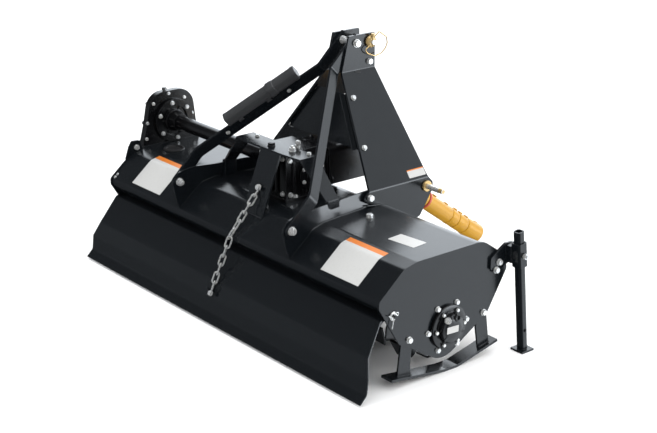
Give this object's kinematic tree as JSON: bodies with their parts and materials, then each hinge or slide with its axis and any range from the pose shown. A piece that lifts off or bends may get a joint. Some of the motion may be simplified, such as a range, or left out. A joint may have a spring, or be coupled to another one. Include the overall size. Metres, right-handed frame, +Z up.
{
  "type": "rotary tiller",
  "caption": "Wide hooded soil tiller with an A-frame three-point hitch, side drive case, bladed rotor, hinged tailgate on a chain, skids, parking stand and guarded drive line.",
  "frame": {"origin": "middle of the bounding box's base, on the ground", "axes": "+X to the machine's right seen from behind, +Y forward to the tractor, +Z up"},
  "size_m": [1.9164, 1.4916, 1.0744],
  "materials": {
    "graphite_paint": "semi-gloss charcoal powder coat",
    "gloss_black": "gloss black enamel on castings",
    "zinc": "bright zinc plate",
    "yellow_zinc": "yellow zinc plate",
    "tine_steel": "black painted spring steel",
    "guard_yellow": "moulded yellow plastic",
    "black_plastic": "moulded black plastic",
    "shaft_steel": "machined steel"
  },
  "bodies": {
    "frame": {"arm_left": "graphite_paint", "arm_right": "graphite_paint", "bearing_hub_left": "gloss_black", "bearing_hub_right": "gloss_black", "brace_bolts": "zinc", "brace_left": "graphite_paint", "brace_right": "graphite_paint", "drive_case": "gloss_black", "drive_case_cover": "gloss_black", "drive_flange": "gloss_black", "drive_tube": "gloss_black", "gearbox": "gloss_black", "gearbox_bracket": "graphite_paint", "hood": "graphite_paint", "input_shaft": "shaft_steel", "input_shield": "graphite_paint", "input_yoke": "shaft_steel", "lower_pin_left": "zinc", "lower_pin_right": "zinc", "manual_case": "black_plastic", "mast_left": "graphite_paint", "mast_right": "graphite_paint", "side_plate_left": "graphite_paint", "side_plate_right": "graphite_paint", "skid_left": "graphite_paint", "skid_right": "graphite_paint", "stand_bracket": "graphite_paint", "stand_pin": "zinc", "tailgate_chain": "yellow_zinc", "tailgate_rod": "zinc", "top_linch_pin": "yellow_zinc", "top_pin": "zinc"},
    "rotor": {"rotor_shaft": "graphite_paint", "tine_flanges": "graphite_paint", "tines_left_hand": "tine_steel", "tines_right_hand": "tine_steel"},
    "tailgate_gate": {"tailgate": "graphite_paint"},
    "stand": {"stand_leg": "graphite_paint"},
    "drive_line": {"cross_and_yoke": "shaft_steel", "guard_inner": "guard_yellow"},
    "drive_line_outer": {"guard_outer": "guard_yellow", "tractor_yoke": "shaft_steel"}
  },
  "joints": [
    {"name": "rotor_spin", "type": "hinge", "parent": "frame", "child": "rotor", "pos_m": [-0.02915, -0.29884, 0.176], "axis": [1, 0, 0], "continuous": true},
    {"name": "tailgate_hinge", "type": "hinge", "parent": "frame", "child": "tailgate_gate", "pos_m": [-0.02915, -0.56384, 0.289], "axis": [-1, 0, 0], "range_deg": [0, 35], "deforming": ["tailgate_chain"]},
    {"name": "stand_slide", "type": "slide", "parent": "frame", "child": "stand", "axis": [0, -0.0958, 0.9954], "range_m": [0, 0.3]},
    {"name": "drive_line_tilt", "type": "hinge", "parent": "frame", "child": "drive_line", "pos_m": [-0.02915, -0.00884, 0.566], "axis": [1, 0, 0], "range_deg": [0, 50]},
    {"name": "drive_line_telescope", "type": "slide", "parent": "drive_line", "child": "drive_line_outer", "axis": [0, -0.8111, 0.585], "range_m": [0, 0.15]}
  ]
}
